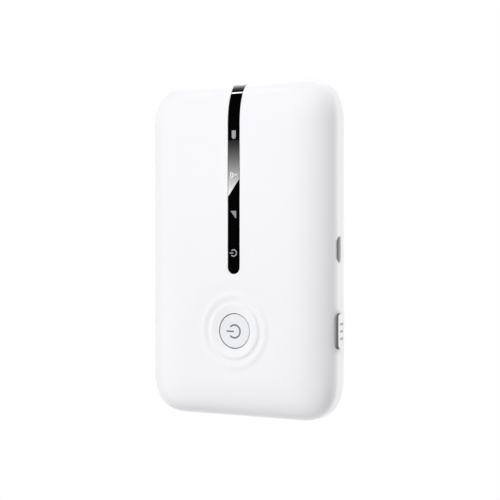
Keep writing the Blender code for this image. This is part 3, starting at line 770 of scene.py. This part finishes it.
def make_world(fill, front_shine, back_shine):
    """White to the eye, and a soft fill for the surfaces.

    Mirror-like surfaces see it dark in front of the object and light behind it.
    """
    world = bpy.data.worlds.new("studio")
    bpy.context.scene.world = world
    world.use_nodes = True
    nodes, links = world.node_tree.nodes, world.node_tree.links
    nodes.clear()
    output = nodes.new("ShaderNodeOutputWorld")
    path = nodes.new("ShaderNodeLightPath")
    white = nodes.new("ShaderNodeBackground")
    soft = nodes.new("ShaderNodeBackground")
    soft.inputs["Strength"].default_value = fill
    shine = nodes.new("ShaderNodeBackground")
    for background in (white, soft, shine):
        background.inputs["Color"].default_value = (1, 1, 1, 1)
    direction = nodes.new("ShaderNodeTexCoord")
    axes = nodes.new("ShaderNodeSeparateXYZ")
    links.new(direction.outputs["Generated"], axes.inputs["Vector"])
    behind = nodes.new("ShaderNodeMapRange")
    behind.inputs["From Min"].default_value = SHINE_EDGE[0]
    behind.inputs["From Max"].default_value = SHINE_EDGE[1]
    behind.inputs["To Min"].default_value = front_shine
    behind.inputs["To Max"].default_value = back_shine
    links.new(axes.outputs["Y"], behind.inputs["Value"])
    links.new(behind.outputs["Result"], shine.inputs["Strength"])
    first = nodes.new("ShaderNodeMixShader")
    second = nodes.new("ShaderNodeMixShader")
    links.new(path.outputs["Is Glossy Ray"], first.inputs["Fac"])
    links.new(soft.outputs["Background"], first.inputs[1])
    links.new(shine.outputs["Background"], first.inputs[2])
    links.new(path.outputs["Is Camera Ray"], second.inputs["Fac"])
    links.new(first.outputs["Shader"], second.inputs[1])
    links.new(white.outputs["Background"], second.inputs[2])
    links.new(second.outputs["Shader"], output.inputs["Surface"])


def make_floor():
    """A white light table that the object stands on."""
    shape = bmesh.new()
    bmesh.ops.create_grid(shape, x_segments=8, y_segments=8, size=3.0)
    mesh = bpy.data.meshes.new("floor")
    shape.to_mesh(mesh)
    shape.free()
    floor = bpy.data.objects.new("floor", mesh)
    floor.location.z = -FLOOR_DROP
    bpy.context.scene.collection.objects.link(floor)
    material, _, _, shader = new_material("floor_white")
    shader.inputs["Base Color"].default_value = (0.0, 0.0, 0.0, 1)
    shader.inputs["Roughness"].default_value = 1.0
    shader.inputs["Specular IOR Level"].default_value = 0.0
    shader.inputs["Emission Color"].default_value = (1, 1, 1, 1)
    shader.inputs["Emission Strength"].default_value = 1.0
    floor.data.materials.append(material)
    floor.visible_diffuse = False
    floor.visible_glossy = False
    floor.visible_shadow = False


def make_camera():
    forward = Vector((-math.sin(CAMERA_TURN), math.cos(CAMERA_TURN), 0))
    right = Vector((math.cos(CAMERA_TURN), math.sin(CAMERA_TURN), 0))
    camera = bpy.data.cameras.new("camera")
    camera.lens = CAMERA_LENS
    camera.sensor_width = CAMERA_SENSOR
    obj = bpy.data.objects.new("camera", camera)
    pivot = at(0, CAMERA_PIVOT_DEPTH, MIDDLE_Z - CAMERA_DROP)
    obj.location = pivot + (right * CAMERA_SIDE - forward * CAMERA_DISTANCE) * MM
    obj.rotation_euler = (RIGHT_ANGLE, 0, CAMERA_TURN)
    bpy.context.scene.collection.objects.link(obj)
    bpy.context.scene.camera = obj


# ---------------------------------------------------------------- put together


def dress(piece, material, body, slot, *replaced):
    piece.data.materials.clear()
    piece.data.materials.append(material)
    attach(piece, body)
    if replaced:
        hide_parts(*replaced)


def build():
    bpy.context.scene.view_settings.view_transform = "Standard"
    make_camera()
    materials = make_materials()
    slots = {entry["node"]: entry["material_slot"] for entry in frame["record"]["subparts"]}
    for name, node in frame["nodes"].items():
        node.data.materials.clear()
        node.data.materials.append(materials[slots[name]])
    white = materials["white_gloss"]
    dress(make_front_shell(), white, "body", "white_gloss", "front_shell")
    dress(make_back_cover(), white, "cover", "white_gloss", "back_cover")
    dress(make_lens(), materials["black_gloss"], "body", "black_gloss", "indicator_lens")
    for icon in make_icons():
        dress(icon, materials["milky_plastic"], "body", "milky_plastic")
    button, button_skirt, sign = make_button()
    dress(button, materials["white_satin"], "button", "white_satin", "power_button")
    # The button's skirt is near-black painted shade that fills the gap round the cap
    dress(button_skirt, materials["gap_painted_shade"], "button", "black_plastic")
    dress(sign, materials["sign_grey"], "button", "grey_plastic")
    cap, skirt, marks = make_side_key()
    dress(cap, materials["white_key"], "key", "white_key", "side_key")
    # The key's skirt carries painted shade: dark grey with a ramp that stands in for the flank's shade and
    # contact shadow
    dress(skirt, materials["key_painted_shade"], "key", "grey_plastic")
    for mark in marks:
        dress(mark, materials["mark_grey"], "key", "grey_plastic")
    dress(make_port_shell(), materials["socket_metal"], "body", "steel", "usb_socket_shell")
    make_floor()
    make_world(WORLD_FILL, *WORLD_SHINE)
    make_lights()
    make_shine()


build()
